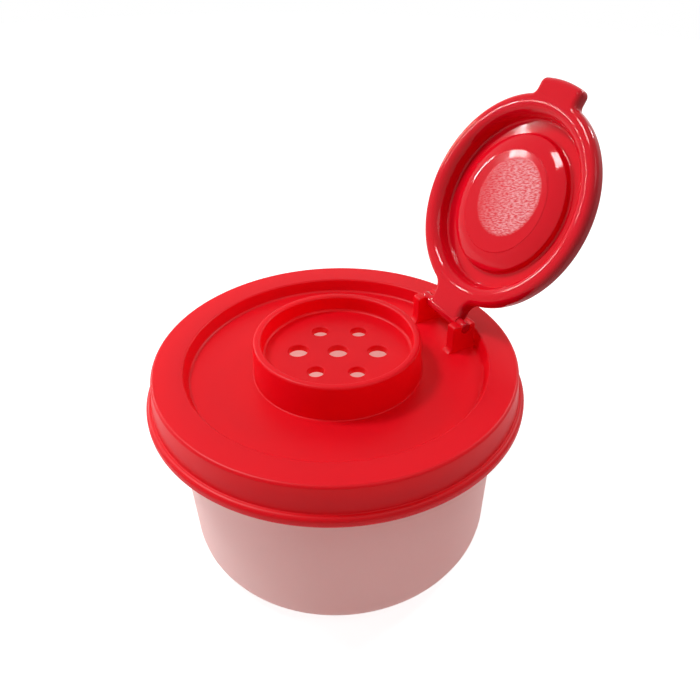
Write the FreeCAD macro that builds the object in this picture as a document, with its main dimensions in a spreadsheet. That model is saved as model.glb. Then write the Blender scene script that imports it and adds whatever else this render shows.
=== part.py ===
import FreeCAD, Part
import math
import os
import re
import Sketcher

# A low hand-held spice shaker: a translucent cup, a press-on lid with a raised
# collar round a perforated plate, and a flip cap on a snap hinge.
# Millimetres. Origin at the centre of the cup's base, +Z up, hinge towards +Y.

# Driving sizes. Each has its own cell in the sheet, under the name given here.
SIZES = {
    # Cup
    "cup_rim_height": 36.74,
    "cup_mouth_radius": 28.75,
    "cup_draft": 0.55,
    "cup_wall": 1.10,
    "cup_floor": 1.40,
    "cup_foot_round": 4.60,
    "cup_bead_width": 0.55,
    "cup_bead_height": 1.80,
    "cup_lip_round": 0.30,
    # Lid shell
    "seat_gap": 0.06,
    "lid_wall": 1.40,
    "bead_gap": 0.75,
    "skirt_wall": 1.37,
    "skirt_flare": 0.53,
    "skirt_depth": 7.10,
    "flange_width": 1.05,
    "flange_height": 2.10,
    "flange_round": 0.80,
    "flange_foot_round": 0.20,
    "rim_outer_round": 0.60,
    "rim_inner_round": 0.40,
    "recess_depth": 2.41,
    "recess_taper": 0.76,
    "recess_round": 0.60,
    "panel_wall": 1.30,
    # Ring that plugs the cup's mouth
    "plug_gap": 0.25,
    "plug_wall": 1.13,
    "plug_depth": 5.60,
    "seal_gap": 0.10,
    "seal_drop": 3.40,
    "seal_height": 0.80,
    # Collar and sprinkle plate
    "collar_wall": 1.31,
    "collar_flare": 0.40,
    "collar_height": 6.37,
    "collar_foot_round": 0.45,
    "collar_lip_round": 0.45,
    "plate_sink": 3.05,
    "plate_wall": 1.30,
    "plate_round": 0.30,
    "hole_ring_share": 0.5312,
    "hole_row_turn": 60.0,
    "row_hole_radius": 1.72,
    "side_hole_radius": 1.42,
    # Hinge posts on the lid
    "hinge_inset": 3.00,
    "hinge_drop": 1.96,
    "post_gap": 0.30,
    "post_wall": 2.04,
    "post_setback": 0.61,
    "post_back": 2.00,
    "post_tip": 0.95,
    "post_round": 0.30,
    "socket_gap": 0.06,
    "throat_half_width": 0.82,
    "mouth_half_width": 1.25,
    "mouth_depth": 0.32,
    # Flip cap
    "pin_radius": 1.00,
    "pin_end_sink": 0.14,
    "pin_chamfer": 0.25,
    "barrel_radius": 1.20,
    "neck_half_width": 4.40,
    "neck_round": 2.50,
    "cap_drop": 1.10,
    "neck_length": 3.41,
    "cap_land": 3.50,
    "cap_wall": 2.45,
    "cap_face_round": 1.10,
    "cap_back_round": 0.60,
    "tab_half_width": 5.00,
    "tab_reach": 2.70,
    "tab_corner_ease": 0.10,
    "tab_root_round": 1.00,
    "moat_gap": 0.92,
    "moat_taper": 0.20,
    "moat_lip_round": 0.90,
    "moat_floor_round": 0.50,
    "cap_seat_gap": 0.10,
    "stopper_gap": 0.55,
    "stopper_edge_drop": 1.55,
    "stopper_face_drop": 1.15,
    "stopper_face_share": 0.7407,
    "stopper_round": 0.80,
    "ridge_wall": 1.20,
    "ridge_taper": 0.25,
    "ridge_round": 0.70,
    "ridge_foot_round": 0.50,
    "cap_open_angle": 119.25,
}

# Sizes worked out from the driving ones, so that the pieces keep fitting.
WORKED = {
    "cup_base_radius": "cup_mouth_radius - cup_draft",
    "cup_bore": "cup_mouth_radius - cup_wall",
    "bead_radius": "cup_mouth_radius + cup_bead_width",
    "rim_under": "cup_rim_height + seat_gap",
    "rim_top": "rim_under + lid_wall",
    "skirt_bore": "bead_radius + bead_gap",
    "rim_radius": "skirt_bore + skirt_wall",
    "skirt_foot_radius": "rim_radius + skirt_flare",
    "flange_radius": "skirt_foot_radius + flange_width",
    "lid_foot": "rim_top - skirt_depth",
    "flange_top": "lid_foot + flange_height",
    "plug_radius": "cup_bore - plug_gap",
    "recess_radius": "plug_radius - plug_wall",
    "panel_radius": "recess_radius - recess_taper",
    "panel_top": "rim_top - recess_depth",
    "panel_under": "panel_top - panel_wall",
    "plug_foot": "rim_top - plug_depth",
    "seal_radius": "cup_bore - seal_gap",
    "seal_top": "rim_top - seal_drop",
    "collar_foot_radius": "moat_radius - moat_gap",
    "collar_radius": "collar_foot_radius - collar_flare",
    "collar_bore_radius": "collar_radius - collar_wall",
    "collar_top": "panel_top + collar_height",
    "plate_top": "collar_top - plate_sink",
    "plate_under": "plate_top - plate_wall",
    "hole_ring_radius": "collar_bore_radius * hole_ring_share",
    "hinge_reach": "panel_radius - hinge_inset",
    "hinge_height": "collar_top - hinge_drop",
    "post_root": "panel_top - panel_wall / 2",
    "post_top": "hinge_height + post_tip",
    "post_front": "neck_length - post_setback",
    "post_inner": "neck_half_width + post_gap",
    "post_outer": "post_inner + post_wall",
    "pin_end": "post_outer - pin_end_sink",
    "cap_under": "hinge_height - cap_drop",
    "cap_top": "cap_under + cap_wall",
    "cap_radius": "hinge_reach - neck_length",
    "tab_radius": "cap_radius + tab_reach",
    "tab_corner_round": "cap_face_round + tab_corner_ease",
    "moat_radius": "cap_radius - cap_land",
    "moat_floor": "collar_top + cap_seat_gap",
    "stopper_radius": "collar_bore_radius - stopper_gap",
    "stopper_face_radius": "stopper_radius * stopper_face_share",
    "stopper_edge": "cap_under + stopper_edge_drop",
    "stopper_face": "cap_under + stopper_face_drop",
    "ridge_radius": "moat_radius + ridge_wall",
    "ridge_inner_radius": "stopper_radius - ridge_wall",
    "ridge_top": "moat_floor + ridge_wall",
    "ridge_root": "cap_under + cap_wall / 2",
}

# How closely an edge has to lie to the place that is asked for.
MATCH = 0.001

doc = FreeCAD.newDocument("SpiceShaker")
sheet = doc.addObject("Spreadsheet::Sheet", "Sizes")
for row, (name, number) in enumerate(SIZES.items(), 1):
    sheet.set(f"A{row}", name)
    sheet.set(f"B{row}", str(number))
    sheet.setAlias(f"B{row}", name)
doc.recompute()


def bound(text):
    """Expression on the sheet's cells for a sum written in size names."""
    def spell(match):
        word = match.group(0)
        if word in WORKED:
            return "(" + bound(WORKED[word]) + ")"
        return "Sizes." + word if word in SIZES else word
    return re.sub(r"[a-z_]+", spell, text)


def value(text):
    """Present value of a sum written in size names."""
    return float(sheet.evalExpression(bound(text)))


def new_body(name):
    body = doc.addObject("PartDesign::Body", name)
    body.Label = name
    return body


def new_sketch(body, name, role, raised="0"):
    """Empty sketch on one of the body's own origin planes, raised along its normal."""
    plane = next(part for part in body.Origin.OriginFeatures if part.Role == role)
    sketch = body.newObject("Sketcher::SketchObject", name)
    sketch.AttachmentSupport = (plane, "")
    sketch.MapMode = "FlatFace"
    sketch.setExpression("AttachmentOffset.Base.z", bound(raised))
    return sketch


def tie(sketch, text, kind, *places):
    """Constraint whose amount follows a sum of sizes."""
    number = sketch.addConstraint(Sketcher.Constraint(kind, *places, value(text)))
    sketch.setExpression(f"Constraints[{number}]", bound(text))


def place_point(sketch, item, end, across, up):
    """Tie a point of the sketch to its two sizes, or to an axis where one is zero."""
    for kind, axis, text in (("DistanceX", -2, across), ("DistanceY", -1, up)):
        if text == "0":
            sketch.addConstraint(Sketcher.Constraint("PointOnObject", item, end, axis))
        else:
            tie(sketch, text, kind, -1, 1, item, end)


def point_at(across, up):
    return FreeCAD.Vector(value(across), value(up), 0)


def join_ends(sketch, items):
    """Make each item of a closed outline start where the one before it ends."""
    for item, following in zip(items, items[1:] + items[:1]):
        sketch.addConstraint(Sketcher.Constraint("Coincident", item, 2, following, 1))


def draw_outline(sketch, corners):
    """Closed outline of straight runs through the corners."""
    points = [point_at(*corner) for corner in corners]
    items = [
        sketch.addGeometry(Part.LineSegment(start, end), False)
        for start, end in zip(points, points[1:] + points[:1])
    ]
    join_ends(sketch, items)
    for item, corner in zip(items, corners):
        place_point(sketch, item, 1, *corner)


def draw_circle(sketch, across, up, radius):
    """Circle with its centre and radius tied to sizes."""
    circle = Part.Circle(point_at(across, up), FreeCAD.Vector(0, 0, 1), value(radius))
    item = sketch.addGeometry(circle, False)
    place_point(sketch, item, 3, across, up)
    tie(sketch, radius, "Radius", item)


def draw_tongue(sketch, half_width, root, radius):
    """Straight-sided tongue towards -Y that ends in an arc about the origin."""
    corner = f"-sqrt({radius} * {radius} - {half_width} * {half_width})"
    root_left = point_at("-" + half_width, root)
    tip_left = point_at("-" + half_width, corner)
    tip_middle = point_at("0", "-" + radius)
    tip_right = point_at(half_width, corner)
    root_right = point_at(half_width, root)
    left, arc, right, base = [
        sketch.addGeometry(item, False)
        for item in (
            Part.LineSegment(root_left, tip_left),
            Part.Arc(tip_left, tip_middle, tip_right),
            Part.LineSegment(tip_right, root_right),
            Part.LineSegment(root_right, root_left),
        )
    ]
    join_ends(sketch, [left, arc, right, base])
    sketch.addConstraint(Sketcher.Constraint("Coincident", arc, 3, -1, 1))
    tie(sketch, radius, "Radius", arc)
    place_point(sketch, left, 1, "-" + half_width, root)
    place_point(sketch, base, 1, half_width, root)
    tie(sketch, "-" + half_width, "DistanceX", -1, 1, left, 2)
    tie(sketch, half_width, "DistanceX", -1, 1, right, 1)


def turned(body, kind, name, corners):
    """Revolution or Groove of an outline of radius and height pairs about the Z axis."""
    sketch = new_sketch(body, name + "_outline", "XZ_Plane")
    draw_outline(sketch, corners)
    feature = body.newObject("PartDesign::" + kind, name)
    feature.Profile = sketch
    feature.ReferenceAxis = (sketch, ["V_Axis"])
    feature.Angle = 360
    doc.recompute()


def extruded(body, kind, name, sketch, length, both_ways=False):
    """Pad or Pocket of a finished sketch."""
    feature = body.newObject("PartDesign::" + kind, name)
    feature.Profile = sketch
    feature.SideType = "Symmetric" if both_ways else "One side"
    feature.setExpression("Length", bound(length))
    doc.recompute()


def rounded(body, name, edges, radius, kind="Fillet", size="Radius"):
    """Fillet or Chamfer of the named edges of the body's latest feature."""
    base = body.Tip
    feature = body.newObject("PartDesign::" + kind, name)
    feature.Base = (base, edges)
    feature.setExpression(size, bound(radius))
    doc.recompute()


def edges_where(body, fits):
    """Names of the edges of the body's latest feature that pass a test."""
    return [f"Edge{number}" for number, edge in enumerate(body.Tip.Shape.Edges, 1) if fits(edge)]


def rings(body, *places):
    """Names of the circular edges at these pairs of radius and height."""
    wanted = [(value(radius), value(height)) for radius, height in places]

    def fits(edge):
        curve = edge.Curve
        if not isinstance(curve, Part.Circle):
            return False
        return any(
            math.isclose(curve.Radius, radius, abs_tol=MATCH)
            and math.isclose(curve.Center.z, height, abs_tol=MATCH)
            for radius, height in wanted
        )
    return edges_where(body, fits)


def level_edges(body, height, fits=lambda edge: True):
    """Names of the edges that lie flat at a height and pass a further test."""
    level = value(height)

    def flat(edge):
        low, high = edge.BoundBox.ZMin, edge.BoundBox.ZMax
        return abs(low - level) < MATCH and abs(high - level) < MATCH and fits(edge)
    return edges_where(body, flat)


def upright_edges(body, across, low, high):
    """Names of the upright edges at this distance either side, between two places along Y."""
    side, start, stop = value(across), value(low), value(high)

    def fits(edge):
        box = edge.BoundBox
        upright = box.XLength < MATCH and box.YLength < MATCH
        return upright and abs(abs(box.XMin) - side) < MATCH and start < box.YMin < stop
    return edges_where(body, fits)


# Cup: thin moulded wall with a little draft, a well rounded foot and a beaded rim.
cup = new_body("cup")
turned(cup, "Revolution", "cup_shell", [
    ("0", "0"),
    ("cup_base_radius", "0"),
    ("cup_mouth_radius", "cup_rim_height - cup_bead_height"),
    ("bead_radius", "cup_rim_height - cup_bead_height + cup_bead_width"),
    ("bead_radius", "cup_rim_height"),
    ("cup_bore", "cup_rim_height"),
    ("cup_base_radius - cup_wall", "cup_floor"),
    ("0", "cup_floor"),
])
rounded(cup, "foot_round", rings(cup, ("cup_base_radius", "0")), "cup_foot_round")
rounded(
    cup,
    "inside_round",
    rings(cup, ("cup_base_radius - cup_wall", "cup_floor")),
    "cup_foot_round - cup_wall",
)
rounded(
    cup,
    "lip_round",
    rings(cup, ("bead_radius", "cup_rim_height"), ("cup_bore", "cup_rim_height")),
    "cup_lip_round",
)

# Lid: one moulding. The rim straddles the cup's lip, with the skirt outside and a
# sealing ring inside; the sunk panel carries the collar and the sprinkle plate.
lid = new_body("shaker_lid")
turned(lid, "Revolution", "lid_shell", [
    ("0", "plate_top"),
    ("collar_bore_radius", "plate_top"),
    ("collar_bore_radius", "collar_top"),
    ("collar_radius", "collar_top"),
    ("collar_foot_radius", "panel_top"),
    ("panel_radius", "panel_top"),
    ("recess_radius", "rim_top"),
    ("rim_radius", "rim_top"),
    ("skirt_foot_radius", "flange_top"),
    ("flange_radius", "flange_top"),
    ("flange_radius", "lid_foot"),
    ("skirt_foot_radius - skirt_wall", "lid_foot"),
    ("skirt_bore", "rim_under"),
    ("plug_radius", "rim_under"),
    ("plug_radius", "seal_top"),
    ("seal_radius", "seal_top - seal_height / 2"),
    ("plug_radius", "seal_top - seal_height"),
    ("plug_radius", "plug_foot"),
    ("plug_radius - plug_wall", "plug_foot"),
    ("plug_radius - plug_wall", "panel_under"),
    ("collar_bore_radius", "panel_under"),
    ("collar_bore_radius", "plate_under"),
    ("0", "plate_under"),
])
for name, radius, places in (
    ("rim_outer_edge", "rim_outer_round", [("rim_radius", "rim_top")]),
    ("rim_inner_edge", "rim_inner_round", [("recess_radius", "rim_top")]),
    ("recess_corner", "recess_round", [("panel_radius", "panel_top")]),
    ("flange_edges", "flange_round", [
        ("flange_radius", "flange_top"),
        ("flange_radius", "lid_foot"),
    ]),
    ("flange_corner", "flange_foot_round", [("skirt_foot_radius", "flange_top")]),
    ("collar_foot", "collar_foot_round", [("collar_foot_radius", "panel_top")]),
    ("collar_lip", "collar_lip_round", [
        ("collar_radius", "collar_top"),
        ("collar_bore_radius", "collar_top"),
    ]),
    ("plate_corner", "plate_round", [("collar_bore_radius", "plate_top")]),
):
    rounded(lid, name, rings(lid, *places), radius)

# Seven sprinkle holes: one in the middle, six round it. The row that runs through
# the middle has the larger ones.
HOLE_COUNT = 6
holes = new_sketch(lid, "hole_outlines", "XY_Plane", "plate_top")
draw_circle(holes, "0", "0", "row_hole_radius")
for turn in range(HOLE_COUNT):
    angle = f"hole_row_turn + {turn} * 360 / {HOLE_COUNT}"
    draw_circle(
        holes,
        f"hole_ring_radius * cos({angle})",
        f"hole_ring_radius * sin({angle})",
        "row_hole_radius" if turn % (HOLE_COUNT // 2) == 0 else "side_hole_radius",
    )
extruded(lid, "Pocket", "sprinkle_holes", holes, "2 * plate_wall")

# Two hinge posts stand on the panel. Each has a round socket that is open upwards
# through a throat narrower than the pin, so the pin snaps in and stays.
posts = new_sketch(lid, "post_outlines", "XY_Plane", "post_root")
for side in ("", "-"):
    draw_outline(posts, [
        (side + "post_inner", "hinge_reach - post_front"),
        (side + "post_outer", "hinge_reach - post_front"),
        (side + "post_outer", "hinge_reach + post_back"),
        (side + "post_inner", "hinge_reach + post_back"),
    ])
extruded(lid, "Pad", "hinge_posts", posts, "post_top - post_root")
rounded(lid, "post_edges", level_edges(lid, "post_top"), "post_round")

sockets = new_sketch(lid, "socket_outline", "YZ_Plane")
draw_circle(sockets, "hinge_reach", "hinge_height", "pin_radius + socket_gap")
extruded(lid, "Pocket", "pin_sockets", sockets, "2 * post_outer", both_ways=True)

throats = new_sketch(lid, "throat_outline", "YZ_Plane")
draw_outline(throats, [
    ("hinge_reach - throat_half_width", "hinge_height"),
    ("hinge_reach + throat_half_width", "hinge_height"),
    ("hinge_reach + throat_half_width", "post_top - mouth_depth"),
    ("hinge_reach + mouth_half_width", "post_top"),
    ("hinge_reach - mouth_half_width", "post_top"),
    ("hinge_reach - throat_half_width", "post_top - mouth_depth"),
])
extruded(lid, "Pocket", "socket_throats", throats, "2 * post_outer", both_ways=True)

# Flip cap, drawn shut over the collar. A disc with a thumb tab in front and a neck
# behind, hollowed below by a moat that drops over the collar, with a stopper inside
# it. The wall keeps its thickness, so the moat shows on top as a raised ring.
cap = new_body("flip_cap")
disc = new_sketch(cap, "disc_outline", "XY_Plane", "cap_under")
draw_circle(disc, "0", "0", "cap_radius")
extruded(cap, "Pad", "cap_disc", disc, "cap_wall")

neck = new_sketch(cap, "neck_outline", "XY_Plane", "cap_under")
draw_outline(neck, [
    ("-neck_half_width", "cap_radius / 2"),
    ("neck_half_width", "cap_radius / 2"),
    ("neck_half_width", "hinge_reach"),
    ("-neck_half_width", "hinge_reach"),
])
extruded(cap, "Pad", "cap_neck", neck, "cap_wall")

tab = new_sketch(cap, "tab_outline", "XY_Plane", "cap_under")
draw_tongue(tab, "tab_half_width", "-cap_radius / 2", "tab_radius")
extruded(cap, "Pad", "thumb_tab", tab, "cap_wall")

for name, radius, across, low, high in (
    ("tab_corners", "tab_corner_round", "tab_half_width", "-tab_radius", "-cap_radius"),
    ("tab_roots", "tab_root_round", "tab_half_width", "-cap_radius", "0"),
    ("neck_roots", "neck_round", "neck_half_width", "0", "cap_radius"),
):
    rounded(cap, name, upright_edges(cap, across, low, high), radius)


def ahead_of_hinge(edge):
    """True for every outline edge but the one across the neck's end."""
    return edge.BoundBox.YMin < value("hinge_reach") - MATCH


rounded(cap, "face_edge", level_edges(cap, "cap_under", ahead_of_hinge), "cap_face_round")
rounded(cap, "back_edge", level_edges(cap, "cap_top"), "cap_back_round")

turned(cap, "Revolution", "moat_ridge", [
    ("ridge_inner_radius", "ridge_root"),
    ("ridge_radius", "ridge_root"),
    ("ridge_radius", "cap_top"),
    ("ridge_radius - ridge_taper", "ridge_top"),
    ("ridge_inner_radius + ridge_taper", "ridge_top"),
    ("ridge_inner_radius", "cap_top"),
])
turned(cap, "Groove", "cap_hollow", [
    ("0", "cap_under"),
    ("moat_radius", "cap_under"),
    ("moat_radius - moat_taper", "moat_floor"),
    ("stopper_radius", "moat_floor"),
    ("stopper_radius", "stopper_edge"),
    ("stopper_face_radius", "stopper_face"),
    ("0", "stopper_face"),
])
for name, radius, places in (
    ("ridge_edges", "ridge_round", [
        ("ridge_radius - ridge_taper", "ridge_top"),
        ("ridge_inner_radius + ridge_taper", "ridge_top"),
    ]),
    ("ridge_feet", "ridge_foot_round", [
        ("ridge_radius", "cap_top"),
        ("ridge_inner_radius", "cap_top"),
    ]),
    ("moat_lip", "moat_lip_round", [("moat_radius", "cap_under")]),
    ("moat_corners", "moat_floor_round", [
        ("moat_radius - moat_taper", "moat_floor"),
        ("stopper_radius", "moat_floor"),
    ]),
    ("stopper_edge_round", "stopper_round", [("stopper_radius", "stopper_edge")]),
):
    rounded(cap, name, rings(cap, *places), radius)

# The neck ends in a barrel between the posts, with a pin out of each side of it.
barrel = new_sketch(cap, "barrel_outline", "YZ_Plane")
draw_circle(barrel, "hinge_reach", "hinge_height", "barrel_radius")
extruded(cap, "Pad", "hinge_barrel", barrel, "2 * neck_half_width", both_ways=True)

pins = new_sketch(cap, "pin_outline", "YZ_Plane")
draw_circle(pins, "hinge_reach", "hinge_height", "pin_radius")
extruded(cap, "Pad", "hinge_pins", pins, "2 * pin_end", both_ways=True)


def at_pin_end(edge):
    """True for the edge round either end of the pins."""
    box = edge.BoundBox
    return box.XLength < MATCH and abs(abs(box.XMin) - value("pin_end")) < MATCH


rounded(cap, "pin_tips", edges_where(cap, at_pin_end), "pin_chamfer", "Chamfer", "Size")

# The cap stands open, turned back about the hinge axis.
cap.Placement = FreeCAD.Placement(
    FreeCAD.Vector(0, 0, 0),
    FreeCAD.Rotation(FreeCAD.Vector(1, 0, 0), -value("cap_open_angle")),
    FreeCAD.Vector(0, value("hinge_reach"), value("hinge_height")),
)
doc.recompute()

for item in doc.Objects:
    if "Invalid" in item.State or "Error" in item.State:
        raise RuntimeError(f"{item.Name} did not build: {item.State}")

os.makedirs("parts", exist_ok=True)
for body in (cup, lid, cap):
    shape = body.Shape
    if shape.isNull() or not shape.isValid() or len(shape.Solids) != 1:
        raise RuntimeError(f"{body.Label} is not one sound solid")
    shape.exportStep(f"parts/{body.Label}.step")
    box = shape.BoundBox
    print(
        f"{body.Label}: {shape.Volume:.1f} mm3,"
        f" x {box.XMin:.2f} to {box.XMax:.2f},"
        f" y {box.YMin:.2f} to {box.YMax:.2f},"
        f" z {box.ZMin:.2f} to {box.ZMax:.2f}"
    )
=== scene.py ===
# %% [markdown]
# # A spice shaker with a flip cap
#
# This lesson dresses a small moulded shaker: a translucent cup, a red press-on lid
# with a collar round its sprinkle plate, and a glossy flip cap that stands open. The
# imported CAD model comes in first. It fixes where everything is, in metres, with the
# origin under the middle of the cup, Z up, and the hinge towards +Y.

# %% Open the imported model
import math

import bmesh
import bpy
from mathutils import Matrix, Vector


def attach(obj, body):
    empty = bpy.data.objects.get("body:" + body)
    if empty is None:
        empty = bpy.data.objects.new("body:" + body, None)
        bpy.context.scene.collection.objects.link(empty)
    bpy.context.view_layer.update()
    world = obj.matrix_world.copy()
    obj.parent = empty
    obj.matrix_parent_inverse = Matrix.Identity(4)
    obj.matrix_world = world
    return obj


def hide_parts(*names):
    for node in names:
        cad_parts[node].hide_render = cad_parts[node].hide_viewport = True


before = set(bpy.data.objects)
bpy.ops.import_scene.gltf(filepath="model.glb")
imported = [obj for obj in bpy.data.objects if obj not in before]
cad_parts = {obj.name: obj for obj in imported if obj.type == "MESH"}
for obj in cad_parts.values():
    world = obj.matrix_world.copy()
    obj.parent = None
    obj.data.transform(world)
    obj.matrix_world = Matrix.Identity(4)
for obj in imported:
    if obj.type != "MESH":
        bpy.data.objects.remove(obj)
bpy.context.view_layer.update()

bpy.ops.object.select_all(action="DESELECT")
print("nodes:", sorted(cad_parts))

# %% [markdown]
# The pieces are moulded to fractions of a millimetre, so every size below is written
# in millimetres, as on a drawing, and turned to metres at the last moment. Three small
# distances are used throughout: points nearer than MERGE become one, a point nearer
# than SAME to a place is the point there, and an edge or face nearer than TOUCH to a
# level lies on it.

# %% Millimetres
MM = 0.001


def mm(*sizes):
    """Millimetres to metres: one number, or a vector of three."""
    return sizes[0] * MM if len(sizes) == 1 else Vector(sizes) * MM


MERGE, SAME, TOUCH = mm(0.002), mm(0.004), mm(0.01)
print("one millimetre is", MM, "m")

# %% [markdown]
# ## Camera
#
# The camera's place and lens came from fitting the circles of the lid, collar, holes
# and cup to the photograph. The picture is a crop from a larger one, so the lens is
# shifted a little instead of turning the camera.

# %% Camera
bpy.ops.object.camera_add(
    location=mm(89.383, -44.789, 110.571),
    rotation=[math.radians(turn) for turn in (52.8387, -1.7934, 58.0889)],
)
camera = bpy.context.object
camera.name = "camera"
camera.data.sensor_width = 36
camera.data.lens = 36.22
camera.data.shift_x = -0.0773
camera.data.shift_y = 0.0293
camera.data.clip_start = mm(5)
bpy.context.scene.camera = camera
print("camera at", [round(size, 4) for size in camera.location])

# %% [markdown]
# ## Drawing a section
#
# Everything round on this shaker is a section turned about the Z axis, so the tools
# for drawing one come next. A plane merged to a single point is the pencil: it is put
# where the line starts and extruded from corner to corner. Each corner is then rounded
# by bevelling its point, which on a bare line gives a true arc.

# %% Pencil and corner rounding


def pick(item, fits, kind="VERT"):
    """Select what passes a test on the item's mesh, in edit mode."""
    bpy.ops.mesh.select_mode(type=kind)
    bpy.ops.mesh.select_all(action="DESELECT")
    mesh = bmesh.from_edit_mesh(item.data)
    parts = {"VERT": mesh.verts, "EDGE": mesh.edges, "FACE": mesh.faces}[kind]
    for part in parts:
        if fits(part):
            part.select_set(True)
    mesh.select_flush_mode()
    bmesh.update_edit_mesh(item.data)


def pencil(name, start):
    """A new mesh of one point, in edit mode, ready to be extruded."""
    bpy.ops.mesh.primitive_plane_add(size=MM)
    item = bpy.context.object
    item.name = item.data.name = name
    bpy.ops.object.mode_set(mode="EDIT")
    bpy.ops.mesh.select_mode(type="VERT")
    bpy.ops.mesh.merge(type="CENTER")
    bpy.ops.transform.translate(value=start)
    return item


def tip(item):
    """Where the pencil is now."""
    mesh = bmesh.from_edit_mesh(item.data)
    return next(vert.co.copy() for vert in mesh.verts if vert.select)


def line_to(item, place):
    step = place - tip(item)
    bpy.ops.mesh.extrude_vertices_move(TRANSFORM_OT_translate={"value": step})


def near(place):
    """Test for the point at a place."""
    return lambda vert: (vert.co - place).length < SAME


def round_corner(item, before, corner, after, radius, steps=6):
    """Round a corner of a bare line: its tangent length follows from its angle."""
    half = (before - corner).angle(after - corner) / 2
    pick(item, near(corner))
    bpy.ops.mesh.bevel(
        offset=radius / math.tan(half), segments=steps, affect="VERTICES", profile=0.5
    )


def draw_section(name, corners):
    """Line through corners of (radius, height, rounding) in millimetres."""
    places = [mm(across, 0, up) for across, up, _ in corners]
    item = pencil(name, places[0])
    for place in places[1:]:
        line_to(item, place)
    for number, (_, _, rounding) in enumerate(corners):
        if rounding:
            round_corner(item, *places[number - 1 : number + 2], mm(rounding))
    return item


# %% [markdown]
# ## Turning a section
#
# Spin turns the line about the Z axis. Its first and last copies lie on each other,
# and so do the points on the axis, so doubles are merged, and then the normals are
# made to point outwards.

# %% Turn and finish
TURN_STEPS = 192


def turn(item, steps=TURN_STEPS):
    bpy.ops.mesh.select_all(action="SELECT")
    bpy.ops.mesh.spin(
        steps=steps, angle=math.tau, center=(0, 0, 0), axis=(0, 0, 1),
        use_auto_merge=False,
    )
    bpy.ops.mesh.select_all(action="SELECT")
    bpy.ops.mesh.remove_doubles(threshold=MERGE)


def close_up(item):
    """Outward normals, out of edit mode, and smooth shading except at sharp edges."""
    bpy.ops.mesh.select_all(action="SELECT")
    bpy.ops.mesh.remove_doubles(threshold=MERGE)
    bpy.ops.mesh.normals_make_consistent(inside=False)
    bpy.ops.object.mode_set(mode="OBJECT")
    bpy.ops.object.select_all(action="DESELECT")
    item.select_set(True)
    bpy.context.view_layer.objects.active = item
    bpy.ops.object.shade_smooth_by_angle(angle=math.radians(35))
    print(item.name, len(item.data.polygons), "faces,", open_edges(item), "open edges")


def open_edges(item):
    """How many edges don't lie between exactly two faces."""
    mesh = bmesh.new()
    mesh.from_mesh(item.data)
    found = sum(len(edge.link_faces) != 2 for edge in mesh.edges)
    mesh.free()
    return found


# %% [markdown]
# ## Cup
#
# The cup is a thin moulded wall with a little draft, a well rounded foot and a beaded
# lip that the lid straddles. It could be two cylinders and a boolean, but one closed
# section, turned, gives the true wall thickness, which is what makes a translucent
# plastic look right.

# %% Cup
cup = draw_section("cup_shell", [
    (0, 0, 0),
    (28.20, 0, 4.60),
    (28.75, 34.94, 0),
    (29.30, 35.49, 0),
    (29.30, 36.74, 0.30),
    (27.65, 36.74, 0.30),
    (27.10, 1.40, 3.50),
    (0, 1.40, 0),
])
turn(cup)
close_up(cup)

# %% [markdown]
# ## Lid shell
#
# The lid is one moulding. Its rim straddles the cup's lip, with the skirt and flange
# outside and a sealing ring inside, and a sunk panel carries the collar. Its section
# is left open where the sprinkle plate goes, because the plate has holes in it and so
# isn't round.

# %% Lid shell
PLATE_TOP = 39.11
PLATE_UNDER = 37.81
PLATE_EDGE = 10.6

lid = draw_section("lid_shell", [
    (PLATE_EDGE, PLATE_TOP, 0),
    (12.97, PLATE_TOP, 0.60),
    (12.97, 42.16, 0.45),
    (14.28, 42.16, 0.45),
    (14.68, 35.79, 0.25),
    (25.51, 35.79, 0.60),
    (26.27, 38.20, 0.40),
    (31.42, 38.20, 0.60),
    (31.95, 33.20, 0.20),
    (33.00, 33.20, 0.80),
    (33.00, 31.10, 0.80),
    (30.58, 31.10, 0.20),
    (30.05, 36.80, 0.30),
    (27.40, 36.80, 0.30),
    (27.40, 34.80, 0),
    (27.55, 34.40, 0),
    (27.40, 34.00, 0),
    (27.40, 32.60, 0.25),
    (26.27, 32.60, 0.25),
    (26.27, 34.49, 0.30),
    (12.97, 34.49, 0.30),
    (12.97, PLATE_UNDER, 0.30),
    (PLATE_EDGE, PLATE_UNDER, 0),
])
turn(lid)
print("lid shell turned, plate still open out to", PLATE_EDGE, "mm")

# %% [markdown]
# ## Sprinkle plate
#
# Seven holes: one in the middle and six round it, the larger ones in the row through
# the middle. Each starts as a circle added at the plate's upper face. Extruding and
# resizing it rounds the hole's edge and makes its wall, and the Fill operator then
# makes each flat face of the plate, with the holes left open in it.

# %% Sprinkle holes
HOLE_RING = 6.89
HOLE_EASE = 0.16
HOLES = [(0, 0, 1.72)] + [
    (
        HOLE_RING * math.cos(math.radians(60 * number)),
        HOLE_RING * math.sin(math.radians(60 * number)),
        1.72 if number in (1, 4) else 1.42,
    )
    for number in range(6)
]


def quarter_round(size, steps):
    """(growth, drop) pairs round a convex edge, from its flat to its wall."""
    turns = [math.pi / 2 * step / steps for step in range(steps + 1)]
    return [(size * (1 - math.sin(t)), size * (1 - math.cos(t))) for t in turns]


def ring_wall(across, along, radius, levels):
    """Circle at the first of the (growth, height) levels, extruded through the rest."""
    growth, height = levels[0]
    bpy.ops.mesh.primitive_circle_add(
        vertices=48, radius=mm(radius + growth), location=mm(across, along, height)
    )
    for (old, low), (growth, height) in zip(levels, levels[1:]):
        bpy.ops.mesh.extrude_edges_move(
            TRANSFORM_OT_translate={"value": mm(0, 0, height - low)}
        )
        scale = (radius + growth) / (radius + old)
        bpy.ops.transform.resize(
            value=(scale, scale, 1), center_override=mm(across, along, height)
        )


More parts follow.
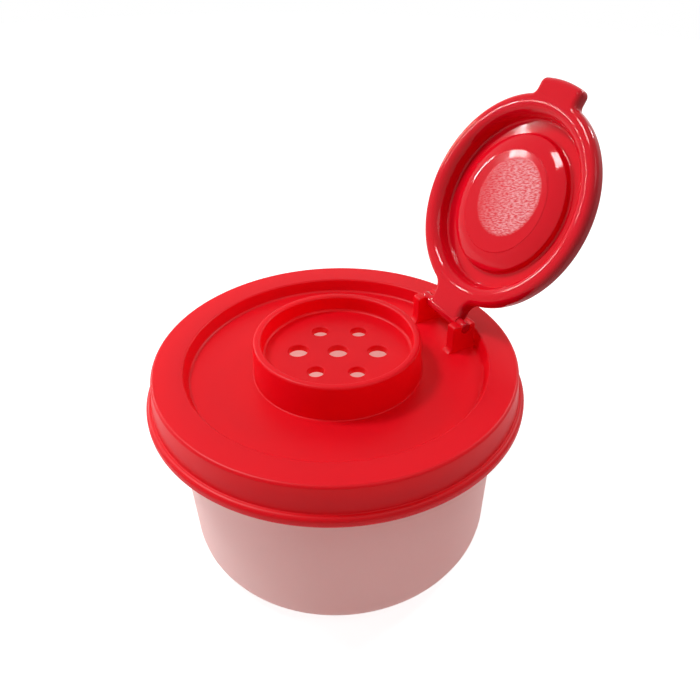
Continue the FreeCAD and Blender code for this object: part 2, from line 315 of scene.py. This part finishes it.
eased = quarter_round(HOLE_EASE, 3)
levels = [(growth, PLATE_TOP - drop) for growth, drop in eased]
levels += [(growth, PLATE_UNDER + drop) for growth, drop in reversed(eased)]
for across, along, radius in HOLES:
    ring_wall(across, along, radius, levels)


def fill_flat(item, height, reach):
    """Fill the open edges at a height, out to a radius, leaving the holes open."""
    def fits(edge):
        flat = all(abs(vert.co.z - mm(height)) < MERGE for vert in edge.verts)
        inside = all(vert.co.xy.length < mm(reach) + TOUCH for vert in edge.verts)
        return flat and inside and len(edge.link_faces) < 2
    pick(item, fits, "EDGE")
    bpy.ops.mesh.fill(use_beauty=True)


fill_flat(lid, PLATE_TOP, PLATE_EDGE)
fill_flat(lid, PLATE_UNDER, PLATE_EDGE)
close_up(lid)

# %% [markdown]
# ## Hinge posts
#
# Two posts stand on the panel, each with a round socket that is open upwards through
# a throat narrower than the pin, so that the pin snaps in. A box and a boolean
# cylinder would do, but drawing the side view once, with the socket as an arc, gives
# clean edges to bevel. Spinning a single point is how an arc is drawn.

# %% Arc
HINGE = (22.51, 40.20)


def arc_about(item, centre, degrees, steps, axis=(0, 0, 1)):
    """Draw an arc from the pencil's place. Spin counts its angle the other way round."""
    bpy.ops.mesh.spin(
        steps=steps, angle=-math.radians(degrees), center=centre, axis=axis,
        use_auto_merge=False,
    )


# %% Side view of a post
POST_INNER = 4.70
POST_OUTER = 6.74
POST_TOP = 41.15
POST_FOOT = 35.74
POST_BURIED = 35.20
POST_FRONT = HINGE[0] - 2.80
POST_BACK = HINGE[0] + 2.00
FOOT_SWEEP = 1.40
SOCKET_HALF_ANGLE = 127.5
SOCKET_LIP = (0.841, 0.6455)
MOUTH_HALF = 1.25


def draw_post(name, across):
    """Side view of a post, whose foot sweeps out into the panel and the rim's wall."""
    along, up = HINGE
    lip_out, lip_up = SOCKET_LIP

    def at(place_along, height):
        return mm(across, place_along, height)

    post = pencil(name, at(POST_FRONT - FOOT_SWEEP, POST_BURIED))
    line_to(post, at(POST_FRONT - FOOT_SWEEP, POST_FOOT))
    line_to(post, at(POST_FRONT, POST_FOOT))
    line_to(post, at(POST_FRONT, POST_TOP))
    line_to(post, at(along - MOUTH_HALF, POST_TOP))
    line_to(post, at(along - lip_out, up + lip_up))
    arc_about(post, at(along, up), 2 * SOCKET_HALF_ANGLE, 34, axis=(1, 0, 0))
    line_to(post, at(along + MOUTH_HALF, POST_TOP))
    line_to(post, at(POST_BACK, POST_TOP))
    line_to(post, at(POST_BACK, POST_FOOT))
    line_to(post, at(POST_BACK + FOOT_SWEEP, POST_FOOT))
    line_to(post, at(POST_BACK + FOOT_SWEEP, POST_BURIED))
    for side, away in ((POST_FRONT, -FOOT_SWEEP), (POST_BACK, FOOT_SWEEP)):
        corner = at(side, POST_FOOT)
        sweep = mm(FOOT_SWEEP) - 2 * TOUCH
        round_corner(post, at(side + away, POST_FOOT), corner, at(side, POST_TOP), sweep, 8)
    bpy.ops.mesh.select_all(action="SELECT")
    bpy.ops.mesh.edge_face_add()
    return post


def soften(item, fits, size, segments=4):
    """Bevel the edges that pass a test."""
    pick(item, fits, "EDGE")
    bpy.ops.mesh.bevel(offset=mm(size), segments=segments, profile=0.5, affect="EDGES")


def on_top_edge(along):
    """Test for the post's top edge at this place along Y."""
    place = mm(0, along, POST_TOP).yz
    return lambda edge: all((vert.co.yz - place).length < TOUCH for vert in edge.verts)


# %% Posts on the lid
def build_post(name, side):
    """One post: side view thickened, its top corners and its outline eased."""
    post = draw_post(name, side * POST_INNER)
    width = mm(side * (POST_OUTER - POST_INNER), 0, 0)
    bpy.ops.mesh.extrude_region_move(TRANSFORM_OT_translate={"value": width})
    for end in (POST_FRONT, POST_BACK):
        soften(post, on_top_edge(end), 0.55)

    def outline(edge):
        """Edges round the side view, but not the socket's, which stay crisp."""
        one, other = (vert.co for vert in edge.verts)
        middle = (one + other) / 2
        clear = (middle.yz - mm(0, *HINGE).yz).length > mm(1.30)
        above = middle.z > mm(POST_FOOT) + TOUCH
        return abs(one.x - other.x) < TOUCH and above and clear
    soften(post, outline, 0.22, 3)
    bpy.ops.mesh.select_all(action="SELECT")
    bpy.ops.mesh.normals_make_consistent(inside=False)
    bpy.ops.object.mode_set(mode="OBJECT")
    return post


def join_solid(item, other):
    """Boolean union, applied, and the other solid taken away."""
    bpy.ops.object.select_all(action="DESELECT")
    item.select_set(True)
    bpy.context.view_layer.objects.active = item
    union = item.modifiers.new("one moulding", "BOOLEAN")
    union.operation = "UNION"
    union.solver = "EXACT"
    union.object = other
    bpy.ops.object.modifier_apply(modifier=union.name)
    bpy.data.objects.remove(other)


for name, side in (("post_left", -1), ("post_right", 1)):
    join_solid(lid, build_post(name, side))
bpy.ops.object.mode_set(mode="EDIT")
close_up(lid)

# %% [markdown]
# ## Flip cap
#
# The cap is drawn shut, over the collar, and opened at the end. Its outline is a
# round disc with a thumb tab in front and a neck behind, joined by hollow corners.
# Half of it is drawn with straight runs and arcs, and Symmetrize makes the other half.

# %% Cap outline
CAP_UNDER = 39.10
CAP_TOP = 41.55
CAP_RADIUS = 19.10
TAB_RADIUS = 21.80
TAB_HALF = 5.00
NECK_HALF = 4.40
TAB_CORNER = 1.20
TAB_ROOT = 1.00
NECK_ROOT = 2.50


def on_circle(radius, across, side):
    """Point of a circle about the origin at this distance across, in metres."""
    return mm(across, side * math.sqrt(radius**2 - across**2), CAP_UNDER)


def bearing(place):
    return math.degrees(math.atan2(place.y, place.x))


tab_corner = on_circle(TAB_RADIUS - TAB_CORNER, TAB_HALF - TAB_CORNER, -1)
tab_root = on_circle(CAP_RADIUS + TAB_ROOT, TAB_HALF + TAB_ROOT, -1)
neck_root = on_circle(CAP_RADIUS + NECK_ROOT, NECK_HALF + NECK_ROOT, 1)
axis_point = mm(0, 0, CAP_UNDER)

cap = pencil("cap_shell", mm(0, -TAB_RADIUS, CAP_UNDER))
arc_about(cap, axis_point, bearing(tab_corner) + 90, 6)
arc_about(cap, tab_corner, -bearing(tab_corner), 10)
line_to(cap, tab_root - mm(TAB_ROOT, 0, 0))
arc_about(cap, tab_root, bearing(-tab_root) - 180, 8)
arc_about(cap, axis_point, bearing(neck_root) - bearing(tab_root), 80)
arc_about(cap, neck_root, -180 - bearing(-neck_root), 12)
line_to(cap, mm(NECK_HALF, HINGE[0], CAP_UNDER))
line_to(cap, mm(0, HINGE[0], CAP_UNDER))
bpy.ops.mesh.select_all(action="SELECT")
bpy.ops.mesh.symmetrize(direction="POSITIVE_X", threshold=MERGE)
bpy.ops.mesh.select_all(action="SELECT")
bpy.ops.mesh.remove_doubles(threshold=MERGE)
outline_points = len(bmesh.from_edit_mesh(cap.data).verts)
print("cap outline of", outline_points, "points")

# %% [markdown]
# The outline becomes a face and the face a slab. The edge towards the lid, which shows
# when the cap is open, is well rounded, and the one on the back less so. Then both flat
# faces are taken off, because each gets a round form in its middle.

# %% Cap slab
bpy.ops.mesh.edge_face_add()
thickness = mm(0, 0, CAP_TOP - CAP_UNDER)
bpy.ops.mesh.extrude_region_move(TRANSFORM_OT_translate={"value": thickness})


def level_at(height):
    """Test for an edge or face that lies flat at a height."""
    return lambda part: all(abs(vert.co.z - mm(height)) < TOUCH for vert in part.verts)


def ahead_of_hinge(edge):
    return min(vert.co.y for vert in edge.verts) < mm(HINGE[0]) - TOUCH


soften(cap, lambda edge: level_at(CAP_UNDER)(edge) and ahead_of_hinge(edge), 1.10, 8)
soften(cap, level_at(CAP_TOP), 0.60, 5)
for height in (CAP_UNDER, CAP_TOP):
    pick(cap, level_at(height), "FACE")
    bpy.ops.mesh.delete(type="ONLY_FACE")
bpy.ops.object.mode_set(mode="OBJECT")
print("cap slab", len(cap.data.vertices), "points")

# %% [markdown]
# ## Moat, stopper and ridge
#
# The cap's underside has a moat that drops over the collar, with the stopper inside
# it. The wall keeps its thickness, as a moulding's must, so the moat shows on the back
# as a raised ring. The stopper is flat in the middle and domed towards its edge, which
# is where the key lamp's highlight sits. Each side is an open section turned about the
# cap's own axis, and Fill joins it to the slab's outline.

# %% Cap forms
hollow = draw_section("hollow", [
    (17.60, CAP_UNDER, 0),
    (15.60, CAP_UNDER, 1.80),
    (15.40, 42.26, 0.50),
    (12.42, 42.26, 0.50),
    (12.42, 41.13, 0.40),
    (10.84, 40.43, 9.20),
    (9.34, 40.27, 0.08),
    (9.20, 40.17, 0.10),
    (0, 40.17, 0),
])
turn(hollow)
bpy.ops.object.mode_set(mode="OBJECT")

ridge = draw_section("ridge", [
    (17.60, CAP_TOP, 0),
    (16.80, CAP_TOP, 0.50),
    (16.55, 43.46, 0.70),
    (11.47, 43.46, 0.70),
    (11.22, CAP_TOP, 0.50),
    (0, CAP_TOP, 0),
])
turn(ridge)
bpy.ops.object.mode_set(mode="OBJECT")


def join_mesh(item, *others):
    """Put other meshes into the item, and stay in edit mode."""
    bpy.ops.object.select_all(action="DESELECT")
    for other in others:
        other.select_set(True)
    item.select_set(True)
    bpy.context.view_layer.objects.active = item
    bpy.ops.object.join()
    bpy.ops.object.mode_set(mode="EDIT")


join_mesh(cap, hollow, ridge)


def fill_open(item, height):
    """Fill between all open edges at a height."""
    def fits(edge):
        return level_at(height)(edge) and len(edge.link_faces) < 2
    pick(item, fits, "EDGE")
    bpy.ops.mesh.fill(use_beauty=True)


fill_open(cap, CAP_UNDER)
fill_open(cap, CAP_TOP)
close_up(cap)

# %% [markdown]
# ## Barrel and pins
#
# The neck ends in a barrel between the posts, with a pin out of each side of it that
# snaps into the socket. It is one cylinder: its ends are inset and drawn out into
# pins, and the pins' tips are bevelled. A boolean then makes it one moulding with the
# cap.

# %% Hinge barrel
BARREL_RADIUS = 1.20
PIN_RADIUS = 1.00
PIN_END = 6.60

bpy.ops.mesh.primitive_cylinder_add(
    vertices=48,
    radius=mm(BARREL_RADIUS),
    depth=mm(2 * NECK_HALF),
    location=mm(0, *HINGE),
    rotation=(0, math.radians(90), 0),
)
barrel = bpy.context.object
bpy.ops.object.transform_apply(location=True, rotation=True, scale=True)
bpy.ops.object.mode_set(mode="EDIT")
for side in (-1, 1):
    def at_end(face, side=side):
        return abs(face.calc_center_median().x - mm(side * NECK_HALF)) < TOUCH
    pick(barrel, at_end, "FACE")
    bpy.ops.mesh.inset(thickness=mm(BARREL_RADIUS - PIN_RADIUS), depth=0)
    pin = mm(side * (PIN_END - NECK_HALF), 0, 0)
    bpy.ops.mesh.extrude_region_move(TRANSFORM_OT_translate={"value": pin})


def pin_tip(edge):
    return all(abs(abs(vert.co.x) - mm(PIN_END)) < TOUCH for vert in edge.verts)


soften(barrel, pin_tip, 0.25, 3)
bpy.ops.object.mode_set(mode="OBJECT")
join_solid(cap, barrel)
bpy.ops.object.mode_set(mode="EDIT")
close_up(cap)

# %% [markdown]
# ## Opening the cap
#
# The cap stands open by 119.25 degrees. It is turned in edit mode about the hinge, so
# that the object itself stays unturned at the origin.

# %% Open the cap
OPEN_ANGLE = 119.25


def opened(place):
    """Where a point of the shut cap is once the cap stands open."""
    pivot = Matrix.Translation(mm(0, *HINGE))
    turned = Matrix.Rotation(math.radians(-OPEN_ANGLE), 4, "X")
    return pivot @ turned @ pivot.inverted() @ place


bpy.ops.object.mode_set(mode="EDIT")
bpy.ops.mesh.select_all(action="SELECT")
bpy.ops.transform.rotate(
    value=math.radians(OPEN_ANGLE), orient_axis="X", center_override=mm(0, *HINGE)
)
bpy.ops.object.mode_set(mode="OBJECT")
tab_end = opened(mm(0, -TAB_RADIUS, CAP_TOP))
print("cap's tab end at", [round(size / MM, 1) for size in tab_end])

# %% [markdown]
# ## Flat faces
#
# Smooth shading alone lets the light on a flat face bend towards its rounded edges. A
# Weighted Normal modifier lets the large flat faces decide instead, so that flat stays
# flat and only the rounding turns.

# %% Weighted normals
for piece in (cup, lid, cap):
    bpy.ops.object.select_all(action="DESELECT")
    piece.select_set(True)
    bpy.context.view_layer.objects.active = piece
    weighted = piece.modifiers.new("flat faces", "WEIGHTED_NORMAL")
    weighted.keep_sharp = True
    bpy.ops.object.modifier_apply(modifier=weighted.name)

# %% [markdown]
# ## Colours and nodes
#
# Colours are picked as a screen shows them, in sRGB, and one function turns them to
# the linear numbers that light adds up in. A second small function adds a node with
# its settings and its links, which keeps each material as short as its graph.

# %% Colour and node helpers


def colour(code):
    """sRGB hex, such as #C8102E, to linear red, green, blue and alpha."""
    shares = [int(code[start : start + 2], 16) / 255 for start in (1, 3, 5)]
    curve = [s / 12.92 if s <= 0.04045 else ((s + 0.055) / 1.055) ** 2.4 for s in shares]
    return (*curve, 1)


def add(tree, kind, inputs=(), **settings):
    """Add a node. An input is given a value, or another node's output to link."""
    node = tree.nodes.new("ShaderNode" + kind)
    for name, setting in settings.items():
        setattr(node, name, setting)
    for socket, given in dict(inputs).items():
        if isinstance(given, bpy.types.NodeSocket):
            tree.links.new(given, node.inputs[socket])
        else:
            node.inputs[socket].default_value = given
    return node


def new_material(name):
    """An empty node tree with its output, and the piece's own coordinates."""
    material = bpy.data.materials.new(name)
    material.use_nodes = True
    tree = material.node_tree
    tree.nodes.clear()
    place = add(tree, "TexCoord").outputs["Object"]
    return material, tree, place, add(tree, "OutputMaterial").inputs["Surface"]


def per_metre(millimetres):
    """Noise scale whose blotches are about this many millimetres across."""
    return 1 / mm(millimetres)


def let_light_in(tree, plastic, share, tint):
    """Mix a plastic with light that comes through the wall from its other side."""
    through = add(tree, "BsdfTranslucent", {"Color": colour(tint)})
    return add(tree, "MixShader", {
        0: share, 1: plastic.outputs["BSDF"], 2: through.outputs["BSDF"],
    }).outputs["Shader"]


# %% [markdown]
# ## Lid: satin red polyethylene
#
# The lid is moulded polyethylene, coloured right through. Its mould is lightly
# textured, so light spreads into soft gradients with no sharp reflection. A wall of
# little more than a millimetre also lets much red light through, which is what makes
# the inside of the cup glow pink. A Translucent shader does that: it gathers the light
# on the wall's other side. Broad, faint blotches of tone and gloss are what keep
# moulded plastic from looking like paint.

# %% Satin red polyethylene
def satin_red():
    material, tree, place, surface = new_material("satin red polyethylene")
    flow = add(tree, "TexNoise", {"Vector": place, "Scale": per_metre(16), "Detail": 3})
    tone = add(tree, "Mix", {
        "Factor": flow.outputs["Fac"], "A": colour("#E8021E"), "B": colour("#F00824"),
    }, data_type="RGBA")
    grain = add(tree, "TexNoise", {"Vector": place, "Scale": per_metre(0.22), "Detail": 2})
    gloss = add(tree, "MapRange", {
        "Value": flow.outputs["Fac"], "To Min": 0.36, "To Max": 0.46,
    })
    sink = add(tree, "TexNoise", {"Vector": place, "Scale": per_metre(7), "Detail": 1})
    waves = add(tree, "Bump", {
        "Strength": 0.25, "Distance": mm(0.10), "Height": sink.outputs["Fac"],
    })
    texture = add(tree, "Bump", {
        "Strength": 0.35, "Distance": mm(0.012), "Height": grain.outputs["Fac"],
        "Normal": waves.outputs["Normal"],
    })
    plastic = add(tree, "BsdfPrincipled", {
        "Base Color": tone.outputs["Result"],
        "Roughness": gloss.outputs["Result"],
        "IOR": 1.51,
        "Specular IOR Level": 0.36,
        "Subsurface Weight": 0.12,
        "Subsurface Radius": (1.0, 0.12, 0.08),
        "Subsurface Scale": mm(0.8),
        "Normal": texture.outputs["Normal"],
    })
    tree.links.new(let_light_in(tree, plastic, 0.38, "#FF2030"), surface)
    return material


lid.data.materials.clear()
lid.data.materials.append(satin_red())
print(lid.data.materials[0].name)

# %% [markdown]
# ## Cap: glossy red polypropylene
#
# The cap comes from a polished mould, so it has sharp highlights that wobble a little
# where the plastic has shrunk. Only the stopper's middle is matt, where the mould was
# left with its cutting marks, which make it duller. Its red is also mixed towards a pale
# pink there: partly the frost of the marks, partly a painted sheen, which is painted
# stronger on one side, where the light falls. One Mapping node turns the pattern with
# the open cap, and a second puts it a little off the stopper's middle and lines it up
# with the marks. It stops inside the wall, so the back stays polished.

# %% Matt patch
STOPPER_FACE = mm(0, 0, 40.17)
PATCH_CENTRE = mm(0.4, -1.0, 0)
MARKS_TURN = math.radians(-22)


def matt_patch(tree, on_cap):
    """Where the patch is, its cutting marks, and how much its red is painted pale: the
    marks' frost and a painted sheen, stronger on one side.
    """
    on_patch = add(tree, "Mapping", {
        "Vector": on_cap, "Location": PATCH_CENTRE, "Rotation": (0, 0, MARKS_TURN),
    }, vector_type="TEXTURE").outputs["Vector"]
    middle = add(tree, "VectorMath", {0: on_patch}, operation="LENGTH").outputs["Value"]
    rounded = add(tree, "MapRange", {
        "Value": middle, "From Min": mm(7.2), "From Max": mm(6.5), "To Min": 0, "To Max": 1,
    })
    spot = add(tree, "SeparateXYZ", {"Vector": on_patch}).outputs
    under = add(tree, "Math", {0: spot["Z"], 1: mm(0.6)}, operation="LESS_THAN")
    patch = add(tree, "Math", {
        0: rounded.outputs["Result"], 1: under.outputs["Value"],
    }, operation="MULTIPLY").outputs["Value"]
    stretched = add(tree, "Mapping", {"Vector": on_patch, "Scale": (0.3, 1, 1)})
    marks = add(tree, "TexNoise", {
        "Vector": stretched.outputs["Vector"], "Scale": per_metre(0.24), "Detail": 4,
    })
    # Painted sheen: the patch's pale tint is painted stronger towards one side, where the
    # light falls on it.
    sheen_side_ramp = add(tree, "MapRange", {
        "Value": spot["X"], "From Min": mm(-6), "From Max": mm(1),
        "To Min": 0.25, "To Max": 1,
    })
    frost = add(tree, "MapRange", {
        "Value": marks.outputs["Fac"], "From Min": 0.40, "From Max": 0.60,
        "To Min": 0.10, "To Max": 0.80,
    })
    marks_and_sheen_side = add(tree, "Math", {
        0: frost.outputs["Result"], 1: sheen_side_ramp.outputs["Result"],
    }, operation="MULTIPLY")
    # Inside the patch, the marks' frost times the painted sheen ramp: partly the marks' own
    # look, partly painted sheen.
    frost_and_painted_sheen = add(tree, "Math", {0: marks_and_sheen_side.outputs["Value"], 1: patch}, operation="MULTIPLY")
    return patch, marks.outputs["Fac"], frost_and_painted_sheen.outputs["Value"]


patch_place = opened(STOPPER_FACE + PATCH_CENTRE)
print("patch centred at", [round(size / MM, 1) for size in patch_place])

# %% Glossy red polypropylene
def glossy_red():
    material, tree, place, surface = new_material("glossy red polypropylene")
    on_cap = add(tree, "Mapping", {
        "Vector": place,
        "Location": opened(STOPPER_FACE),
        "Rotation": (math.radians(-OPEN_ANGLE), 0, 0),
    }, vector_type="TEXTURE").outputs["Vector"]
    flow = add(tree, "TexNoise", {"Vector": on_cap, "Scale": per_metre(12), "Detail": 3})
    tone = add(tree, "Mix", {
        "Factor": flow.outputs["Fac"], "A": colour("#D4041A"), "B": colour("#DE0A22"),
    }, data_type="RGBA")
    patch, marks, frost_and_painted_sheen = matt_patch(tree, on_cap)
    # Partly painted sheen: the red is mixed towards pale pink where the marks' frost and
    # the light's sheen would make it look pale.
    frost_and_sheen_red = add(tree, "Mix", {
        "Factor": frost_and_painted_sheen, "A": tone.outputs["Result"], "B": colour("#F2B4B8"),
    }, data_type="RGBA")
    sink = add(tree, "TexNoise", {"Vector": on_cap, "Scale": per_metre(6), "Detail": 1})
    gloss = add(tree, "MapRange", {"Value": patch, "To Min": 0.07, "To Max": 0.38})
    waves = add(tree, "Bump", {
        "Strength": 0.35, "Distance": mm(0.10), "Height": sink.outputs["Fac"],
    })
    cut = add(tree, "Math", {0: patch, 1: 0.5}, operation="MULTIPLY")
    texture = add(tree, "Bump", {
        "Strength": cut.outputs["Value"], "Distance": mm(0.10),
        "Height": marks, "Normal": waves.outputs["Normal"],
    })
    plastic = add(tree, "BsdfPrincipled", {
        "Base Color": frost_and_sheen_red.outputs["Result"],
        "Roughness": gloss.outputs["Result"],
        "IOR": 1.49,
        "Specular IOR Level": 0.18,
        "Subsurface Weight": 0.12,
        "Subsurface Radius": (1.0, 0.12, 0.08),
        "Subsurface Scale": mm(0.8),
        "Normal": texture.outputs["Normal"],
    })
    tree.links.new(plastic.outputs["BSDF"], surface)
    return material


cap.data.materials.clear()
cap.data.materials.append(glossy_red())
print(cap.data.materials[0].name)

# %% [markdown]
# ## Cup: natural polypropylene
#
# Polypropylene with no colour in it is milky: light gets through a thin wall but is
# scattered on the way, so one sees light and dark through it and no shapes. Rough glass
# would show shapes and turn grey, so a mix of a near white plastic and a Translucent
# shader is used. What comes through the wall has lost a little green and blue on the
# way, so its tint is warmer.

# %% Natural polypropylene
def milky_plastic():
    material, tree, place, surface = new_material("natural polypropylene")
    cloud = add(tree, "TexNoise", {"Vector": place, "Scale": per_metre(14), "Detail": 3})
    tone = add(tree, "Mix", {
        "Factor": cloud.outputs["Fac"], "A": colour("#F7EEEC"), "B": colour("#FAF4F2"),
    }, data_type="RGBA")
    grain = add(tree, "TexNoise", {"Vector": place, "Scale": per_metre(0.3), "Detail": 2})
    sheen = add(tree, "MapRange", {
        "Value": cloud.outputs["Fac"], "To Min": 0.42, "To Max": 0.52,
    })
    texture = add(tree, "Bump", {
        "Strength": 0.2, "Distance": mm(0.010), "Height": grain.outputs["Fac"],
    })
    plastic = add(tree, "BsdfPrincipled", {
        "Base Color": tone.outputs["Result"],
        "Roughness": sheen.outputs["Result"],
        "IOR": 1.49,
        "Normal": texture.outputs["Normal"],
    })
    tree.links.new(let_light_in(tree, plastic, 0.47, "#FFE1DE"), surface)
    return material


cup.data.materials.clear()
cup.data.materials.append(milky_plastic())
print(cup.data.materials[0].name)

# %% [markdown]
# ## Floor and light
#
# The shaker stands on a plain pale floor that meets a pale world. Both are kept from
# lighting the object too much, yet have to look white, so a Light Path node lifts them
# where a ray from the camera, a reflection or a look through plastic meets them.

# %% Floor
def seen_outright(tree):
    """1 where the camera, a reflection or a look through something meets this."""
    kind = add(tree, "LightPath").outputs
    seen = kind["Is Camera Ray"]
    for other in ("Is Glossy Ray", "Is Transmission Ray"):
        either = add(tree, "Math", {0: seen, 1: kind[other]}, operation="MAXIMUM")
        seen = either.outputs["Value"]
    return seen


bpy.ops.mesh.primitive_circle_add(vertices=96, radius=0.5, fill_type="NGON")
floor = bpy.context.object
floor.name = "floor"
floor_material, tree, place, surface = new_material("pale floor")
lift = add(tree, "Math", {0: seen_outright(tree), 1: 0.84}, operation="MULTIPLY")
matt = add(tree, "BsdfDiffuse", {"Color": colour("#B4B4B4")})
glow = add(tree, "Emission", {
    "Color": colour("#FFFFFF"), "Strength": lift.outputs["Value"],
})
both = add(tree, "AddShader", {0: matt.outputs["BSDF"], 1: glow.outputs["Emission"]})
tree.links.new(both.outputs["Shader"], surface)
floor.data.materials.append(floor_material)

# %% World
world = bpy.data.worlds.new("pale room")
bpy.context.scene.world = world
world.use_nodes = True
tree = world.node_tree
tree.nodes.clear()
strength = add(tree, "MapRange", {
    "Value": seen_outright(tree), "To Min": 0.12, "To Max": 1.0,
})
sky = add(tree, "Background", {
    "Color": colour("#FFFFFF"), "Strength": strength.outputs["Result"],
})
out = add(tree, "OutputWorld", {"Surface": sky.outputs["Background"]})

# %% [markdown]
# The photograph shows where its light came from. The shadow of the collar gives the
# key lamp's direction, and each highlight on the cap lies halfway between the camera
# and a lamp. So every lamp is placed by its bearing, counted from +X towards +Y, and
# its height above the floor, both in degrees, and its distance from the lid.

# %% Lamps
LID_MIDDLE = mm(0, 0, 38)


def lamp(name, bearing_and_height, distance, size, power, lean=0, mirrored=True):
    """Area lamp of (width, height) metres that looks at the lid, leaning in degrees."""
    turn, lift = (math.radians(angle) for angle in bearing_and_height)
    towards = Vector(
        (math.cos(lift) * math.cos(turn), math.cos(lift) * math.sin(turn), math.sin(lift))
    )
    bpy.ops.object.light_add(type="AREA", location=LID_MIDDLE + distance * towards)
    light = bpy.context.object
    light.name = name
    light.data.shape = "RECTANGLE"
    light.data.size, light.data.size_y = size
    light.data.energy = power
    upright = towards.to_track_quat("Z", "Y").to_matrix()
    leaning = upright @ Matrix.Rotation(math.radians(lean), 3, "Z")
    light.rotation_euler = leaning.to_euler()
    light.visible_glossy = mirrored
    return light


lamp("key", (-137, 59), 0.65, (0.13, 0.13), 2.3)
lamp("window", (-157, 18), 0.60, (0.05, 0.09), 0.6)
lamp("strip", (-141.6, 24.0), 0.60, (0.008, 0.07), 0.15, lean=38)
lamp("low_window", (-124, 6), 0.70, (0.22, 0.22), 1.8, mirrored=False)
lamp("back", (97, 36), 0.60, (0.075, 0.075), 0.85)
lamp("side", (20, 60), 0.60, (0.25, 0.25), 0.45)

# %% [markdown]
# ## Riding the frame
#
# Each piece stands for its CAD node, which is hidden, and moves with that node's body.

# %% Finish
for piece, body, node in (
    (cup, "cup", "cup"), (lid, "lid", "shaker_lid"), (cap, "cap", "flip_cap"),
):
    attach(piece, body)
    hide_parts(node)

bpy.context.scene.view_settings.view_transform = "Standard"
